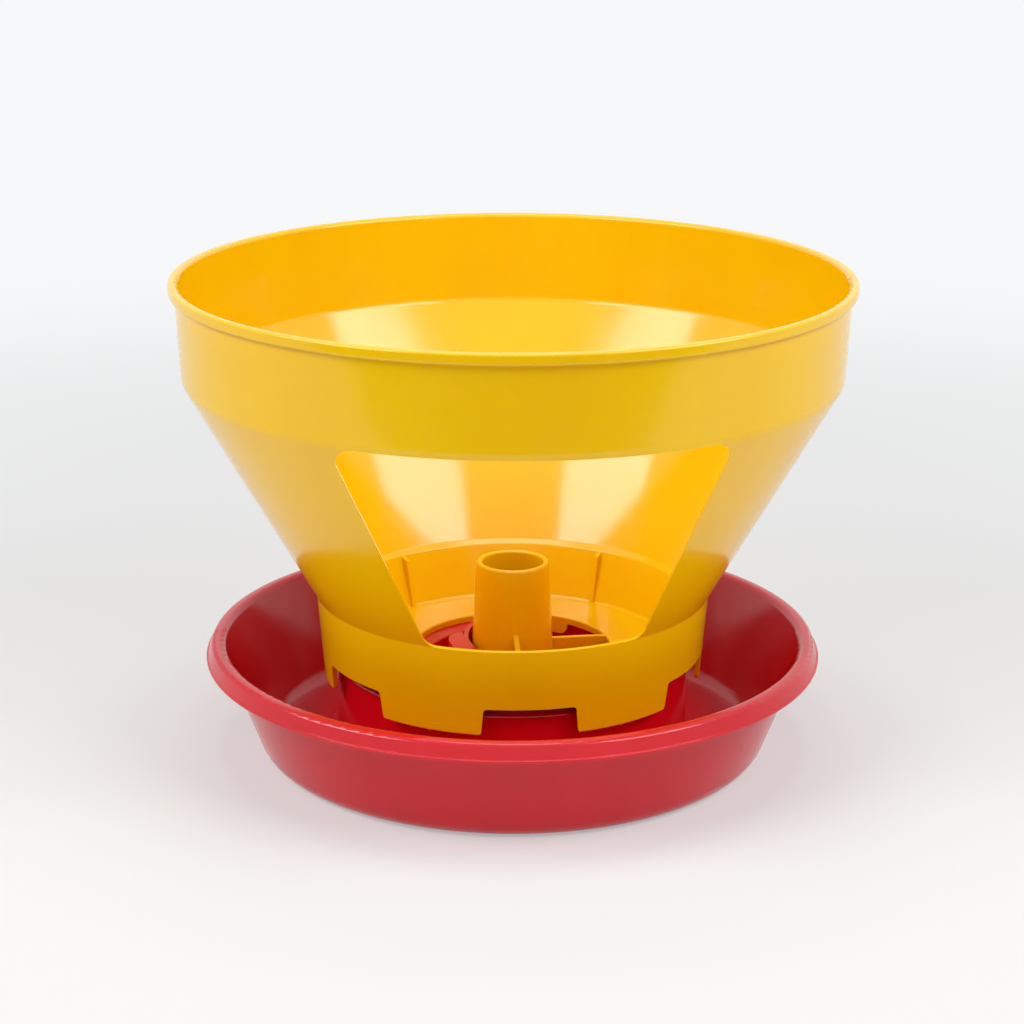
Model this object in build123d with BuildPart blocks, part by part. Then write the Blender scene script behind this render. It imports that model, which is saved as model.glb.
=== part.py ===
"""Poultry feeder in two mouldings: a hopper with an open front, seated on the raised middle of a round pan."""

import os
from math import atan, cos, radians, sin, tan

from build123d import *

# Pan: heights are above the ground and radii are from the axis
PAN_WALL = 2.5
PAN_HEIGHT = 60.2
PAN_BASE_R = 130.5
PAN_CORNER_R = 11.8
PAN_FLARE = 20.6
LIP_REACH = 6.9
LIP_DROP = 9.2
LIP_WALL = 2.4
LIP_BEAD = 0.8
LIP_ROUND_IN = 3.8
LIP_ROUND_OUT = 2.4
SEAT_Z = 48.4
FEED_GAP = 5.0
PLINTH_DRAFT = 2.0
PLINTH_FOOT_R = 10.0
WELL_R = 45.5
WELL_FLOOR_Z = 30.0
LEAD_WIDTH = 6.5
LEAD_DEPTH = 2.4
BOSS_R = 27.0
BOSS_Z = 45.0
CORE_DRAFT = 1.0
CORE_ROUND = 1.5
SEAT_ROUND = 2.0
LEAD_ROUND = 1.2
UNDER_ROUND = 1.0
LIP_EDGE_ROUND = 0.6

# Pocket at the back right of the well, for the hopper's locating tab and one of its webs
POCKET_R = 56.5
POCKET_START = 96.0
POCKET_ARC = 82.0
POCKET_END_WALL = 2.8

# Cuff and lug that stand on the pan's boss, round the foot of the hopper's tube
FRONT_ANGLE = -90.0
CUFF_CLEARANCE = 1.7
CUFF_WALL = 2.2
CUFF_RISE = 12.5
CUFF_RAMP = 9.0
CUFF_START = -155.0
CUFF_ARC = 140.0
LUG_REACH = 8.0
LUG_WIDTH = 22.0
LUG_ROUND = 7.0
LUG_BEARING = -72.0
LUG_RISE = 8.2

# Hopper: skirt, cone and upper band
HOPPER_WALL = 2.5
SKIRT_R = 98.5
SKIRT_TOP_R = 102.2
SKIRT_DROP = 8.4
SKIRT_RISE = 36.7
CONE_HEIGHT = 116.1
SHOULDER_R = 167.8
SHOULDER_BEND_R = 9.0
BAND_HEIGHT = 49.2
BAND_FLARE = 2.7
BEAD_WIDTH = 2.3
BEAD_HEIGHT = 6.0
BEAD_ROUND = 1.3
BEAD_FOOT_ROUND = 0.5
RIM_ROUND = 2.0
CREASE_ROUND = 2.0
SKIRT_EDGE_ROUND = 0.8

# Throat: the inner funnel below the cone, the ledge at its foot and the hole in the ledge
LEDGE_THICKNESS = 3.6
LEDGE_FALL = 1.8
LEDGE_HOLE_R = 51.5
SEAT_MARGIN = 6.0
THROAT_LIP_BELOW = 5.1
THROAT_LIP_WIDTH = 3.0
THROAT_LIP_FALL = 2.2
THROAT_LIP_ROUND = 1.0
THROAT_ROUND = 1.5
LEDGE_ROUND = 2.0
LEDGE_EDGE_ROUND = 0.8
CAVITY_BELOW = 10.1
RIB_BEARINGS = (-25.0, 34.0, 91.0, 149.0, 220.0, 277.0)
RIB_THICKNESS = 2.4
RIB_TOP_DEPTH = 4.6
RIB_FOOT_DEPTH = 1.4
STIFFENER_THICKNESS = 1.8
STIFFENER_CLEARANCE = 2.6
STIFFENER_NUB = 0.8

# Openings in the skirt and in the cone; a bearing is 0 at the front and grows towards the right
FRONT_BEARING = 5.15
NOTCH_COUNT = 6
NOTCH_HEIGHT = 14.3
NOTCH_TOP_WIDTH = 45.8
NOTCH_FOOT_WIDTH = 48.2
NOTCH_CORNER_R = 2.2
WINDOW_FOOT_LEFT = 50.0
WINDOW_FOOT_RIGHT = 56.2
WINDOW_TOP_LEFT = 97.4
WINDOW_TOP_RIGHT = 90.8
WINDOW_TOP_BELOW = 1.2
WINDOW_CORNER_R = 8.0

# Centre tube, the webs that carry it and the tab that hangs from the ledge
TUBE_TOP_R = 18.9
TUBE_DRAFT = 2.9
TUBE_HEIGHT = 50.4
TUBE_FOOT_GAP = 1.0
TUBE_ROUND = 1.3
TUBE_FOOT_ROUND = 0.6
BORE_R = 15.8
BORE_LENGTH = 29.5
FOOT_WALL = 2.9
WEB_THICKNESS = 2.6
GUSSET_BEARING = 5.0
GUSSET_RISE = 16.3
WEB_RISE = 5.6
WEB_BEARING = 107.0
WEB_DROP = 2.1
BACK_WEB_BEARING = 188.0
TAB_BEARING = 158.5
TAB_WIDTH = 24.0
TAB_DROP = 6.3
TAB_ROUND = 5.0
TAB_THICKNESS = 2.6
TAB_EDGE_ROUND = 0.5

# Heights and radii that follow from the sizes above
flare = tan(radians(PAN_FLARE))
wall_across = PAN_WALL / cos(radians(PAN_FLARE))
floor_z = PAN_WALL
lip_r = PAN_BASE_R + PAN_HEIGHT * flare + LIP_REACH
plinth_r = SKIRT_R - HOPPER_WALL - FEED_GAP
throat_foot_r = plinth_r - SEAT_MARGIN
plinth_foot_r = plinth_r + tan(radians(PLINTH_DRAFT)) * (SEAT_Z - floor_z)
ledge_z = SEAT_Z + LEDGE_THICKNESS
junction_z = ledge_z - LEDGE_FALL
skirt_z = SEAT_Z - SKIRT_DROP
crease_z = SEAT_Z + SKIRT_RISE
shoulder_z = crease_z + CONE_HEIGHT
rim_z = shoulder_z + BAND_HEIGHT
rim_r = SHOULDER_R + BAND_FLARE
cone_slope = (SHOULDER_R - SKIRT_TOP_R) / CONE_HEIGHT
cone_across = HOPPER_WALL / cos(atan(cone_slope))
throat_lip_z = crease_z - THROAT_LIP_BELOW
throat_lip_r = SKIRT_TOP_R - cone_across - THROAT_LIP_BELOW * cone_slope
throat_top_r = throat_lip_r - THROAT_LIP_WIDTH
throat_top_z = throat_lip_z - THROAT_LIP_FALL
throat_slope = (throat_top_r - throat_foot_r) / (throat_top_z - junction_z)
cavity_z = crease_z - CAVITY_BELOW
tube_top_z = SEAT_Z + TUBE_HEIGHT
tube_foot_z = BOSS_Z + TUBE_FOOT_GAP
tube_foot_r = TUBE_TOP_R + tan(radians(TUBE_DRAFT)) * (tube_top_z - tube_foot_z)
cuff_r = tube_foot_r + CUFF_CLEARANCE


def pan_outside(z):
    """Radius of the pan's outer wall at a height."""
    return PAN_BASE_R + z * flare


def skirt_outside(z):
    """Radius of the skirt's outer wall at a height."""
    return SKIRT_R + (z - skirt_z) * (SKIRT_TOP_R - SKIRT_R) / (crease_z - skirt_z)


def throat_inside(z):
    """Radius of the throat's inner wall at a height."""
    return throat_foot_r + (z - junction_z) * throat_slope


def facing(bearing, distance=0.0):
    """Upright plane that looks outwards at a bearing, at a distance from the axis."""
    turn = radians(bearing)
    outward = Vector(sin(turn), -cos(turn), 0)
    return Plane(origin=outward * distance, x_dir=(cos(turn), sin(turn), 0), z_dir=outward)


def through_axis(bearing):
    """Upright plane that holds the axis, with its x direction pointing outwards at a bearing."""
    turn = radians(bearing)
    return Plane(origin=(0, 0, 0), x_dir=(sin(turn), -cos(turn), 0), z_dir=(-cos(turn), -sin(turn), 0))


def turned(corners, bearing=0.0, arc=360.0, mode=Mode.ADD):
    """Makes a turned solid, or a sector of one, from corners given as radius, height and rounding."""
    with BuildSketch(through_axis(bearing)) as section:
        with BuildLine():
            FilletPolyline(*[(r, z) for r, z, _ in corners], radius=[c for _, _, c in corners], close=True)
        make_face()
    revolve(section.sketch, axis=Axis.Z, revolution_arc=arc, mode=mode)


def plate(bearing, thickness, corners):
    """Adds a thin upright plate in the plane through the axis, from corners given as radius and height."""
    with BuildSketch(through_axis(bearing)) as outline:
        with BuildLine():
            Polyline(*corners, close=True)
        make_face()
    extrude(outline.sketch, amount=thickness / 2, both=True)


# Pan: one moulding with a sloped outer wall, a feed channel, a hollow plinth and a well in the middle
lip_foot_z = PAN_HEIGHT - LIP_DROP
lip_top_r = pan_outside(PAN_HEIGHT)
under_lip_z = PAN_HEIGHT - PAN_WALL - LIP_BEAD
plinth_under_z = SEAT_Z - PAN_WALL
lead_z = SEAT_Z - LEAD_DEPTH
well_under_z = WELL_FLOOR_Z - PAN_WALL

pan_corners = [
    (0, BOSS_Z, 0),
    (BOSS_R, BOSS_Z, CORE_ROUND),
    (BOSS_R + CORE_DRAFT, WELL_FLOOR_Z, CORE_ROUND),
    (WELL_R - CORE_DRAFT, WELL_FLOOR_Z, CORE_ROUND),
    (WELL_R, lead_z, LEAD_ROUND),
    (WELL_R + LEAD_WIDTH, SEAT_Z, SEAT_ROUND),
    (plinth_r, SEAT_Z, SEAT_ROUND),
    (plinth_foot_r, floor_z, PLINTH_FOOT_R),
    (pan_outside(floor_z) - wall_across, floor_z, PAN_CORNER_R - PAN_WALL),
    (pan_outside(PAN_HEIGHT) - wall_across, PAN_HEIGHT, LIP_ROUND_IN),
    (lip_top_r + LIP_REACH / 2, PAN_HEIGHT - LIP_BEAD / 2, LIP_ROUND_OUT),
    (lip_r - LIP_BEAD, lip_foot_z + 2 * LIP_BEAD, LIP_BEAD / 2),
    (lip_r, lip_foot_z + 2 * LIP_BEAD, LIP_BEAD / 2),
    (lip_r, lip_foot_z, LIP_EDGE_ROUND),
    (lip_r - LIP_WALL, lip_foot_z, LIP_EDGE_ROUND),
    (lip_top_r + LIP_REACH / 2 - LIP_WALL / 2, under_lip_z, UNDER_ROUND),
    (pan_outside(under_lip_z), under_lip_z, UNDER_ROUND),
    (PAN_BASE_R, 0, PAN_CORNER_R),
    (plinth_foot_r - PAN_WALL, 0, PLINTH_FOOT_R + PAN_WALL),
    (plinth_r - PAN_WALL, plinth_under_z, CORE_ROUND),
    (WELL_R + LEAD_WIDTH, plinth_under_z, UNDER_ROUND),
    (WELL_R + PAN_WALL, lead_z - PAN_WALL, UNDER_ROUND),
    (WELL_R + PAN_WALL - CORE_DRAFT, well_under_z, SEAT_ROUND),
    (BOSS_R - PAN_WALL + CORE_DRAFT, well_under_z, CORE_ROUND),
    (BOSS_R - PAN_WALL, BOSS_Z - PAN_WALL, CORE_ROUND),
    (0, BOSS_Z - PAN_WALL, 0),
]

with BuildPart() as pan:
    # The cuff is a part ring whose rim climbs towards the back, so the tube's foot is guided home
    with BuildSketch(Plane.XY.offset(BOSS_Z - PAN_WALL / 2)):
        with BuildLine():
            start = FRONT_ANGLE + CUFF_START
            CenterArc((0, 0), cuff_r + CUFF_WALL, start, CUFF_ARC)
            CenterArc((0, 0), cuff_r, start, CUFF_ARC)
            for end in (start, start + CUFF_ARC):
                PolarLine((cuff_r * cos(radians(end)), cuff_r * sin(radians(end))), CUFF_WALL, end)
        make_face()
    extrude(amount=3 * CUFF_RISE)
    # The lug is a tongue with a rounded end on the cuff's left side
    lug_turn = Location((0, 0, 0), (0, 0, FRONT_ANGLE + LUG_BEARING))
    lug_foot = Plane(origin=(0, 0, BOSS_Z + LUG_RISE)) * lug_turn
    with BuildSketch(lug_foot):
        with BuildLine():
            FilletPolyline(
                (cuff_r + CUFF_WALL / 2, -LUG_WIDTH / 2),
                (cuff_r + CUFF_WALL + LUG_REACH, -LUG_WIDTH / 2),
                (cuff_r + CUFF_WALL + LUG_REACH, LUG_WIDTH / 2),
                (cuff_r + CUFF_WALL / 2, LUG_WIDTH / 2),
                radius=[0, LUG_ROUND, LUG_ROUND, 0],
                close=True,
            )
        make_face()
    extrude(amount=3 * CUFF_RISE)
    # One tilted cut gives the cuff and the lug their common top
    split(bisect_by=Plane(origin=(0, 0, BOSS_Z + CUFF_RISE)).rotated((CUFF_RAMP, 0, 0)), keep=Keep.BOTTOM)
    turned(pan_corners)
    # The pocket is a deeper sector behind the well, with a wall of its own
    turned(
        [
            (WELL_R, well_under_z, 0),
            (POCKET_R + PAN_WALL, well_under_z, SEAT_ROUND),
            (POCKET_R + PAN_WALL, SEAT_Z - PAN_WALL / 2, 0),
            (WELL_R, SEAT_Z - PAN_WALL / 2, 0),
        ],
        bearing=POCKET_START - POCKET_END_WALL,
        arc=POCKET_ARC + 2 * POCKET_END_WALL,
    )
    turned(
        [
            ((BOSS_R + WELL_R) / 2, WELL_FLOOR_Z, 0),
            (POCKET_R, WELL_FLOOR_Z, CORE_ROUND),
            (POCKET_R, SEAT_Z + PAN_WALL, 0),
            ((BOSS_R + WELL_R) / 2, SEAT_Z + PAN_WALL, 0),
        ],
        bearing=POCKET_START,
        arc=POCKET_ARC,
        mode=Mode.SUBTRACT,
    )
pan.part.label = "pan"

# Hopper: one moulding, turned first and then opened at the front and at the foot of the skirt
bead_z = rim_z - BEAD_HEIGHT
hopper_corners = [
    (SKIRT_R - HOPPER_WALL, skirt_z, SKIRT_EDGE_ROUND),
    (SKIRT_R, skirt_z, SKIRT_EDGE_ROUND),
    (SKIRT_TOP_R, crease_z, CREASE_ROUND),
    (SHOULDER_R, shoulder_z, SHOULDER_BEND_R),
    (rim_r - BEAD_WIDTH / 3, bead_z, BEAD_FOOT_ROUND),
    (rim_r + BEAD_WIDTH, bead_z + BEAD_WIDTH / 3, BEAD_ROUND),
    (rim_r + BEAD_WIDTH, rim_z, BEAD_ROUND),
    (rim_r - HOPPER_WALL, rim_z, RIM_ROUND),
    (SHOULDER_R - HOPPER_WALL, shoulder_z + HOPPER_WALL * tan(atan(cone_slope) / 2), SHOULDER_BEND_R - HOPPER_WALL),
    (throat_lip_r, throat_lip_z, THROAT_LIP_ROUND),
    (throat_top_r, throat_top_z, THROAT_ROUND),
    (throat_foot_r, junction_z, LEDGE_ROUND),
    (LEDGE_HOLE_R, ledge_z, LEDGE_EDGE_ROUND),
    (LEDGE_HOLE_R, SEAT_Z, 0),
    (throat_foot_r + HOPPER_WALL / 2, SEAT_Z, LEDGE_EDGE_ROUND),
    (throat_inside(ledge_z) + HOPPER_WALL, ledge_z, 0),
    (throat_inside(cavity_z) + HOPPER_WALL, cavity_z, 0),
    (skirt_outside(cavity_z) - HOPPER_WALL, cavity_z, 0),
]

window_foot_z = crease_z
window_top_z = shoulder_z - WINDOW_TOP_BELOW
notch_near_r = throat_foot_r + 2 * HOPPER_WALL
web_foot_z = tube_foot_z + TUBE_FOOT_GAP
inside_tube_r = tube_foot_r - FOOT_WALL / 2
under_ledge_z = SEAT_Z + LEDGE_THICKNESS / 4
over_well_r = WELL_R - 2 * CORE_DRAFT
into_ledge_r = LEDGE_HOLE_R + HOPPER_WALL

with BuildPart() as tab:
    with BuildSketch(facing(TAB_BEARING)):
        with Locations((0, SEAT_Z - TAB_DROP / 2 + TAB_ROUND / 2)):
            RectangleRounded(TAB_WIDTH, TAB_DROP + TAB_ROUND, TAB_ROUND)
    extrude(amount=2 * LEDGE_HOLE_R)
    turned(
        [
            (LEDGE_HOLE_R, SEAT_Z - TAB_DROP, TAB_EDGE_ROUND),
            (LEDGE_HOLE_R + TAB_THICKNESS, SEAT_Z - TAB_DROP, TAB_EDGE_ROUND),
            (LEDGE_HOLE_R + TAB_THICKNESS, SEAT_Z + LEDGE_THICKNESS / 2, 0),
            (LEDGE_HOLE_R, SEAT_Z + LEDGE_THICKNESS / 2, 0),
        ],
        mode=Mode.INTERSECT,
    )

with BuildPart() as hopper:
    turned(hopper_corners)

    # The front window is cut straight through the cone, from the crease up to the band
    with BuildSketch(facing(FRONT_BEARING)):
        with BuildLine():
            FilletPolyline(
                (-WINDOW_FOOT_LEFT, window_foot_z),
                (WINDOW_FOOT_RIGHT, window_foot_z),
                (WINDOW_TOP_RIGHT, window_top_z),
                (-WINDOW_TOP_LEFT, window_top_z),
                radius=WINDOW_CORNER_R,
                close=True,
            )
        make_face()
    extrude(amount=2 * SHOULDER_R, mode=Mode.SUBTRACT)

    # The skirt's notches let the feed out, and leave six teeth with rounded corners
    for index in range(NOTCH_COUNT):
        with BuildSketch(facing(FRONT_BEARING + index * 360 / NOTCH_COUNT, notch_near_r)):
            with BuildLine():
                FilletPolyline(
                    (-NOTCH_FOOT_WIDTH / 2 - 2 * NOTCH_CORNER_R, skirt_z - NOTCH_CORNER_R),
                    (-NOTCH_FOOT_WIDTH / 2 - 2 * NOTCH_CORNER_R, skirt_z),
                    (-NOTCH_FOOT_WIDTH / 2, skirt_z),
                    (-NOTCH_TOP_WIDTH / 2, skirt_z + NOTCH_HEIGHT),
                    (NOTCH_TOP_WIDTH / 2, skirt_z + NOTCH_HEIGHT),
                    (NOTCH_FOOT_WIDTH / 2, skirt_z),
                    (NOTCH_FOOT_WIDTH / 2 + 2 * NOTCH_CORNER_R, skirt_z),
                    (NOTCH_FOOT_WIDTH / 2 + 2 * NOTCH_CORNER_R, skirt_z - NOTCH_CORNER_R),
                    radius=[0, 0, NOTCH_CORNER_R, NOTCH_CORNER_R, NOTCH_CORNER_R, NOTCH_CORNER_R, 0, 0],
                    close=True,
                )
            make_face()
        extrude(amount=SKIRT_TOP_R, mode=Mode.SUBTRACT)

    # Each rib stands inside the throat, and a stiffener behind it ties the throat to the skirt
    for bearing in RIB_BEARINGS:
        plate(
            bearing,
            RIB_THICKNESS,
            [
                (throat_top_r + HOPPER_WALL / 2, throat_top_z),
                (throat_top_r - RIB_TOP_DEPTH, throat_top_z - THROAT_LIP_FALL),
                (throat_foot_r - RIB_FOOT_DEPTH, junction_z - LEDGE_FALL / 2),
                (throat_foot_r + HOPPER_WALL / 2, junction_z - LEDGE_FALL / 2),
            ],
        )
        plate(
            bearing,
            STIFFENER_THICKNESS,
            [
                (skirt_outside(cavity_z) - HOPPER_WALL / 2, cavity_z + HOPPER_WALL / 2),
                (throat_inside(cavity_z) + HOPPER_WALL / 2, cavity_z + HOPPER_WALL / 2),
                (throat_foot_r + HOPPER_WALL / 2, ledge_z),
                (plinth_r + STIFFENER_CLEARANCE, SEAT_Z + LEDGE_THICKNESS / 2),
                (plinth_r + STIFFENER_CLEARANCE, skirt_z - STIFFENER_NUB),
                (SKIRT_R - HOPPER_WALL / 2, skirt_z - STIFFENER_NUB),
            ],
        )

    # The tall gusset in front and two level webs join the tube to the ledge
    plate(
        GUSSET_BEARING,
        WEB_THICKNESS,
        [
            (inside_tube_r, SEAT_Z + GUSSET_RISE),
            (into_ledge_r, ledge_z),
            (into_ledge_r, under_ledge_z),
            (over_well_r, under_ledge_z),
            (over_well_r - SKIRT_DROP, web_foot_z),
            (inside_tube_r, web_foot_z),
        ],
    )
    plate(
        WEB_BEARING,
        WEB_THICKNESS,
        [
            (inside_tube_r, SEAT_Z + WEB_RISE),
            (into_ledge_r, ledge_z),
            (into_ledge_r, SEAT_Z - WEB_DROP),
            (inside_tube_r, SEAT_Z - WEB_DROP),
        ],
    )
    plate(
        BACK_WEB_BEARING,
        WEB_THICKNESS,
        [
            (inside_tube_r, SEAT_Z + WEB_RISE),
            (into_ledge_r, ledge_z),
            (into_ledge_r, under_ledge_z),
            (over_well_r, under_ledge_z),
            (over_well_r - SKIRT_DROP, web_foot_z),
            (inside_tube_r, web_foot_z),
        ],
    )

    # The tab hangs from the ledge into the pan's pocket
    add(tab.part)

    # The centre tube tapers outside; its bore is straight at the top and opens towards the foot
    turned(
        [
            (BORE_R, tube_top_z, TUBE_ROUND),
            (TUBE_TOP_R, tube_top_z, TUBE_ROUND),
            (tube_foot_r, tube_foot_z, TUBE_ROUND),
            (tube_foot_r - FOOT_WALL, tube_foot_z, TUBE_FOOT_ROUND),
            (BORE_R, tube_top_z - BORE_LENGTH, 0),
        ]
    )
hopper.part.label = "hopper"

os.makedirs("parts", exist_ok=True)
export_step(pan.part, "parts/pan.step")
export_step(hopper.part, "parts/hopper.step")
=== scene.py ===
# %% [markdown]
# # A poultry feeder in two injection mouldings
#
# This notebook dresses a finished CAD model. What is added here is the look: coloured
# polypropylene with the marks that moulding leaves, a studio, and a camera. Everything is in
# metres, so a size in millimetres is multiplied by `MM`.

import math

import bpy
from mathutils import Matrix, Vector

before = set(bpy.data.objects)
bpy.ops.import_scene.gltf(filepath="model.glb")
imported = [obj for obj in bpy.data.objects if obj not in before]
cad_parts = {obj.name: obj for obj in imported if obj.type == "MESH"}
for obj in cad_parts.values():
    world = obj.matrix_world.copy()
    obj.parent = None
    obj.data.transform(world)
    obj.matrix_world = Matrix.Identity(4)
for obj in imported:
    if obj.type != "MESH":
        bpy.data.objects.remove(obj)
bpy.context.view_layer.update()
MM = 0.001

# %% [markdown]
# ## Sizes of the marks that moulding leaves
#
# A procedural texture looks right when its scale is a real size. These are the widths of the marks
# on a moulding of this kind, and how deep the uneven ones are. The wall's thickness says how far
# light travels inside the plastic.

# %% Sizes of the marks
STREAK_WIDTH = 45 * MM
STREAK_STRETCH = 0.18
SCUFF_SIZE = 9 * MM
WAVE_SIZE = 30 * MM
WAVE_DEPTH = 0.15 * MM
PEEL_SIZE = 2.5 * MM
PEEL_DEPTH = 0.02 * MM
WALL = 2.5 * MM
print("flow streaks", round(STREAK_WIDTH / MM), "mm wide, orange peel", PEEL_SIZE / MM, "mm")

# %% [markdown]
# ## Colours
#
# Colours are written as the hex values a screen shows, in the sRGB encoding. Shaders calculate with
# linear light, so one function converts each hex value before it reaches a socket.


# %% One function from hex to linear light
def linear(code):
    """Turns '#rrggbb' in sRGB into the linear RGBA that shader sockets expect."""
    values = [int(code[i : i + 2], 16) / 255 for i in (1, 3, 5)]
    light = [v / 12.92 if v <= 0.04045 else ((v + 0.055) / 1.055) ** 2.4 for v in values]
    return (*light, 1.0)


YELLOW = linear("#f9c802")
YELLOW_DEEP = linear("#f4b600")
RED = linear("#d8081e")
RED_DEEP = linear("#c4041a")
WHITE = linear("#ffffff")
BACKDROP = linear("#f7f8f9")
PAPER = linear("#e8e8e8")
CARD_BLACK = linear("#0c0c0c")
print("yellow in linear light:", [round(v, 3) for v in YELLOW[:3]])

# %% [markdown]
# ## A small helper for nodes
#
# Adding a node takes three steps: make it, set the values of its inputs, and link what feeds it.
# The helper does all three. An input is given by its name or its number, and a value that is
# itself a socket is linked, while a plain value is set.


# %% Add a node, set its inputs, link its sources
def add(tree, kind, inputs=None, **settings):
    """Adds a node of a kind; `inputs` maps an input's name or number to a value or to a socket."""
    node = tree.nodes.new(kind)
    for name, value in settings.items():
        setattr(node, name, value)
    for key, value in (inputs or {}).items():
        if isinstance(value, bpy.types.NodeSocket):
            tree.links.new(value, node.inputs[key])
        else:
            node.inputs[key].default_value = value
    return node


def new_material(name):
    """A material with an empty node tree, and its output node."""
    material = bpy.data.materials.new(name)
    material.use_nodes = True
    material.node_tree.nodes.clear()
    output = add(material.node_tree, "ShaderNodeOutputMaterial")
    return material, material.node_tree, output


print("helpers ready")

# %% [markdown]
# ## Injection-moulded polypropylene
#
# Polypropylene has an index of refraction of 1.49. A moulding from a polished tool is glossy,
# but its skin is never flat: it has a faint orange peel a few millimetres across, and the cooling
# leaves broad, shallow waves. The pigment is spread by the flow, so the colour changes a little
# in streaks that run up the wall. Thin walls let some light through, which the subsurface part gives.
# Fine scuffs from handling make a few places slightly duller.


# %% The plastic shader
def polypropylene(name, colour, deep, roughness, glow):
    """Glossy pigmented polypropylene; `deep` is the colour in the flow streaks, `glow` the light passed on."""
    material, tree, output = new_material(name)
    place = add(tree, "ShaderNodeTexCoord").outputs["Object"]

    streak_place = add(tree, "ShaderNodeMapping", {"Vector": place, "Scale": (1.0, 1.0, STREAK_STRETCH)})
    streaks = add(
        tree,
        "ShaderNodeTexNoise",
        {"Vector": streak_place.outputs[0], "Scale": 1 / STREAK_WIDTH, "Detail": 3.0, "Roughness": 0.45},
    )
    pigment = add(
        tree,
        "ShaderNodeMapRange",
        {"Value": streaks.outputs["Fac"], "From Min": 0.35, "From Max": 0.75, "To Min": 0.0, "To Max": 0.35},
    )
    tint = add(
        tree,
        "ShaderNodeMix",
        {"Factor": pigment.outputs["Result"], "A": colour, "B": deep},
        data_type="RGBA",
    )

    scuffs = add(
        tree,
        "ShaderNodeTexNoise",
        {"Vector": place, "Scale": 1 / SCUFF_SIZE, "Detail": 8.0, "Roughness": 0.7},
    )
    dulled = add(
        tree,
        "ShaderNodeMapRange",
        {
            "Value": scuffs.outputs["Fac"],
            "From Min": 0.45,
            "From Max": 0.8,
            "To Min": roughness,
            "To Max": roughness + 0.12,
        },
    )

    waves = add(tree, "ShaderNodeTexNoise", {"Vector": place, "Scale": 1 / WAVE_SIZE, "Detail": 1.0})
    peel = add(tree, "ShaderNodeTexNoise", {"Vector": place, "Scale": 1 / PEEL_SIZE, "Detail": 2.0})
    wavy = add(
        tree,
        "ShaderNodeBump",
        {"Strength": 0.25, "Distance": WAVE_DEPTH, "Height": waves.outputs["Fac"]},
    )
    skin = add(
        tree,
        "ShaderNodeBump",
        {
            "Strength": 0.12,
            "Distance": PEEL_DEPTH,
            "Height": peel.outputs["Fac"],
            "Normal": wavy.outputs["Normal"],
        },
    )

    shader = add(
        tree,
        "ShaderNodeBsdfPrincipled",
        {
            "Base Color": tint.outputs["Result"],
            "Roughness": dulled.outputs["Result"],
            "IOR": 1.49,
            "Subsurface Weight": glow,
            "Subsurface Radius": (1.0, 0.6, 0.1),
            "Subsurface Scale": WALL,
            "Normal": skin.outputs["Normal"],
        },
    )
    tree.links.new(shader.outputs[0], output.inputs["Surface"])
    return material


yellow = polypropylene("injection-moulded polypropylene, yellow", YELLOW, YELLOW_DEEP, 0.12, 0.15)
red = polypropylene("injection-moulded polypropylene, red", RED, RED_DEEP, 0.15, 0.1)
print("materials:", yellow.name, "|", red.name)

# %% [markdown]
# ## Dress the solids
#
# The CAD objects stay as they are. Only the material in their slot changes.

# %% Materials on the two mouldings
for node_name, material in (("hopper", yellow), ("pan", red)):
    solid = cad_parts[node_name]
    solid.data.materials.clear()
    solid.data.materials.append(material)
    print(node_name, len(solid.data.polygons), "faces,", material.name)

# %% [markdown]
# ## The studio
#
# The feeder stands on pale paper that reaches far behind it. Rays that see or mirror the studio
# find it white, while the rays that carry light find a weaker, even glow. Near the feeder the paper
# keeps its own shading, so the shadow stays. Two soft boxes at the front left and the front right
# give the long highlights in the cone, and one overhead fills in. A black card on the ground in
# front is seen by reflections only, and keeps the colour of the band deep.


# %% Floor, world and soft boxes
def plane(name, size, centre):
    """A square of a size, flat on the ground around a centre."""
    half = size / 2
    corners = [(-half, -half, 0), (half, -half, 0), (half, half, 0), (-half, half, 0)]
    mesh = bpy.data.meshes.new(name)
    mesh.from_pydata([tuple(Vector(c) + Vector(centre)) for c in corners], [], [(0, 1, 2, 3)])
    made = bpy.data.objects.new(name, mesh)
    bpy.context.collection.objects.link(made)
    return made


def shown_rays(tree):
    """1 for the rays that see or mirror the studio, and 0 for those that carry its light."""
    path = add(tree, "ShaderNodeLightPath")
    mirrored = add(
        tree,
        "ShaderNodeMath",
        {0: path.outputs["Is Glossy Ray"], 1: path.outputs["Is Transmission Ray"]},
        operation="MAXIMUM",
    )
    either = add(
        tree,
        "ShaderNodeMath",
        {0: path.outputs["Is Camera Ray"], 1: mirrored.outputs[0]},
        operation="MAXIMUM",
    )
    return either.outputs[0]


FLOOR_SIZE = 14.0
NEAR = 0.35
FAR = 1.3
NEAR_MIX = 0.4
floor = plane("floor", FLOOR_SIZE, (0, 3.0, 0))
paper, tree, output = new_material("matte white studio paper")
matte = add(tree, "ShaderNodeBsdfDiffuse", {"Color": PAPER})
place = add(tree, "ShaderNodeTexCoord").outputs["Object"]
reach = add(tree, "ShaderNodeVectorMath", {0: place}, operation="LENGTH")
away = add(
    tree,
    "ShaderNodeMapRange",
    {"Value": reach.outputs["Value"], "From Min": NEAR, "From Max": FAR, "To Min": NEAR_MIX},
    interpolation_type="SMOOTHSTEP",
)
share = add(tree, "ShaderNodeMath", {0: away.outputs["Result"], 1: shown_rays(tree)}, operation="MULTIPLY")
bright = add(tree, "ShaderNodeEmission", {"Color": BACKDROP, "Strength": 1.0})
sheet = add(tree, "ShaderNodeMixShader", {0: share.outputs[0], 1: matte.outputs[0], 2: bright.outputs[0]})
tree.links.new(sheet.outputs[0], output.inputs["Surface"])
floor.data.materials.append(paper)

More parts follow.
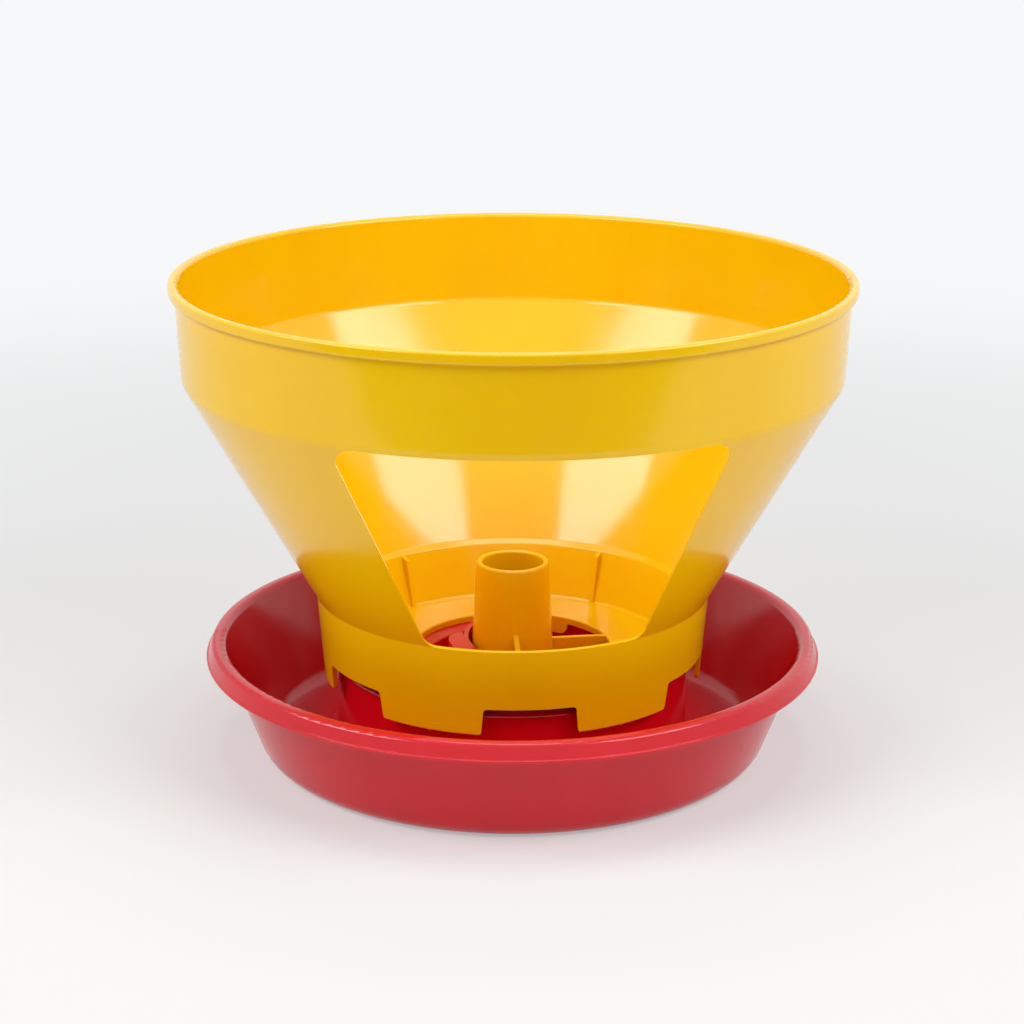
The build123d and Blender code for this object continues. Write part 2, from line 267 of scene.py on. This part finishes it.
card = plane("black card", 4.0, (0, -2.55, 0.002))
felt, tree, output = new_material("matte black card")
dark = add(tree, "ShaderNodeBsdfDiffuse", {"Color": CARD_BLACK})
tree.links.new(dark.outputs[0], output.inputs["Surface"])
card.data.materials.append(felt)
card.visible_camera = False
card.visible_diffuse = False
card.visible_shadow = False

world = bpy.data.worlds.new("studio")
bpy.context.scene.world = world
world.use_nodes = True
tree = world.node_tree
tree.nodes.clear()
lit = add(tree, "ShaderNodeBackground", {"Color": WHITE, "Strength": 0.3})
shown = add(tree, "ShaderNodeBackground", {"Color": WHITE, "Strength": 1.0})
mixed = add(tree, "ShaderNodeMixShader", {0: shown_rays(tree), 1: lit.outputs[0], 2: shown.outputs[0]})
add(tree, "ShaderNodeOutputWorld", {"Surface": mixed.outputs[0]})


def soft_box(name, place, target, width, height, power):
    """A rectangular area lamp that looks from a place at a target."""
    lamp = bpy.data.lights.new(name, "AREA")
    lamp.shape = "RECTANGLE"
    lamp.size = width
    lamp.size_y = height
    lamp.energy = power
    holder = bpy.data.objects.new(name, lamp)
    holder.location = place
    holder.rotation_euler = (Vector(target) - Vector(place)).to_track_quat("-Z", "Y").to_euler()
    holder.visible_camera = False
    bpy.context.collection.objects.link(holder)
    return holder


CENTRE = (0, 0, 0.13)
BOX_WIDTH = 1.0
BOX_HEIGHT = 0.4
SIDE_WATTS = 9.4
TOP_WATTS = 10.0
for side, name in ((-1, "soft box left"), (1, "soft box right")):
    soft_box(name, (side * 0.93, -0.54, 1.03), CENTRE, BOX_WIDTH, BOX_HEIGHT, SIDE_WATTS)
soft_box("soft box top", (0, 0.1, 1.9), CENTRE, BOX_WIDTH, BOX_WIDTH, TOP_WATTS)

# %% [markdown]
# ## The camera
#
# The camera stands in front, above the rim, and looks down by seventeen degrees. Its field of view
# was worked out from the ellipses that the round edges make in the picture: their height against
# their width gives the view's angle, and how that changes with height gives the distance.

# %% Camera at the picture's angle
SENSOR = 36.0
FOCAL_PIXELS = 2500.0
IMAGE_PIXELS = 1024
PITCH = math.radians(17.105)
ROLL = math.radians(0.1495)
eye = bpy.data.cameras.new("camera")
eye.sensor_width = SENSOR
eye.lens = FOCAL_PIXELS / IMAGE_PIXELS * SENSOR
camera = bpy.data.objects.new("camera", eye)
tilt = Matrix.Rotation(math.pi / 2 - PITCH, 4, "X") @ Matrix.Rotation(ROLL, 4, "Z")
camera.matrix_world = Matrix.Translation((-0.0004, -1.238, 0.506)) @ tilt
bpy.context.collection.objects.link(camera)
bpy.context.scene.camera = camera
bpy.context.scene.view_settings.view_transform = "Standard"
print("lens:", round(eye.lens, 1), "mm")
